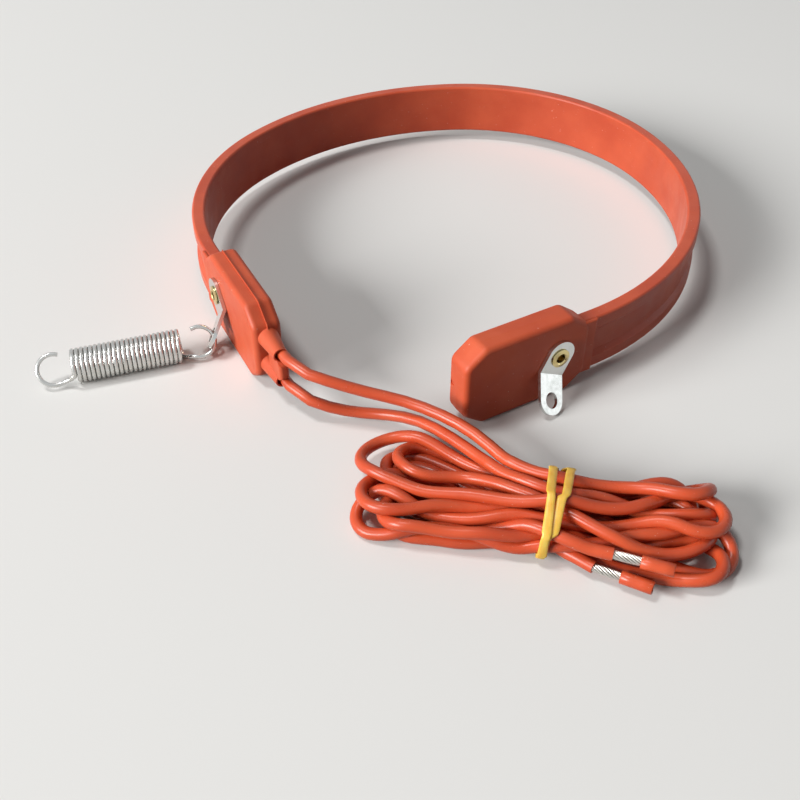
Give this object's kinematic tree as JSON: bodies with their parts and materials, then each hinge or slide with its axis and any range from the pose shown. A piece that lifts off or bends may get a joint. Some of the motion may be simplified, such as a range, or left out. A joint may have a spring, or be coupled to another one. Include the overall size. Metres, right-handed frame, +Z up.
{
  "type": "silicone crankcase heating belt",
  "caption": "Open ring of extruded silicone heating belt with moulded end blocks, riveted tabs, a hooked extension spring and supply leads tied in a hank.",
  "frame": {"origin": "on the axis of the first and longest bend of the strip, in the plane that the blocks stand on", "axes": "+Z up, along the axis of the vessel that the belt wraps; -Y is the open side with the end blocks and leads"},
  "size_m": [0.1577, 0.1846, 0.0203],
  "materials": {
    "silicone_body": "matt moulded and extruded silicone",
    "silicone_lead": "smooth extruded silicone",
    "heater_wire": "glass fibre sleeve over resistance wire",
    "tinned_copper": "tinned copper",
    "brass": "bright rolled brass",
    "plated_steel": "bright nickel plate",
    "spring_steel": "bright drawn spring wire",
    "latex_band": "translucent natural rubber"
  },
  "bodies": {
    "band": {"belt": "silicone_body", "tail_block": "silicone_body", "lead_block": "silicone_body", "heating_wire": "heater_wire", "upper_crimp": "tinned_copper", "lower_crimp": "tinned_copper", "tail_eyelet": "brass", "lead_eyelet": "brass", "tail_washer": "plated_steel", "lead_washer": "plated_steel", "lead_wire_a": "silicone_lead", "lead_wire_b": "silicone_lead", "lead_hank": "silicone_lead", "rubber_band": "latex_band", "bare_strands_a": "tinned_copper", "insulation_slug_a": "silicone_lead", "bare_strands_b": "tinned_copper", "insulation_slug_b": "silicone_lead"},
    "tail_tab": {"tail_link": "plated_steel"},
    "lead_tab": {"lead_link": "plated_steel"},
    "spring": {"spring": "spring_steel"}
  },
  "joints": [
    {"name": "tail_tab_swivel", "type": "hinge", "parent": "band", "child": "tail_tab", "pos_m": [0.02617, -0.06564, 0.0112], "axis": [0.503, -0.8643, 0], "continuous": true},
    {"name": "lead_tab_swivel", "type": "hinge", "parent": "band", "child": "lead_tab", "pos_m": [-0.04985, -0.04265, 0.0112], "axis": [-0.8894, -0.4571, 0], "range_deg": [-90, 90]},
    {"name": "spring_swing", "type": "hinge", "parent": "lead_tab", "child": "spring", "pos_m": [-0.05386, -0.05137, 0.004], "axis": [0.237, -0.7165, 0.6561], "range_deg": [-75, 70]}
  ]
}
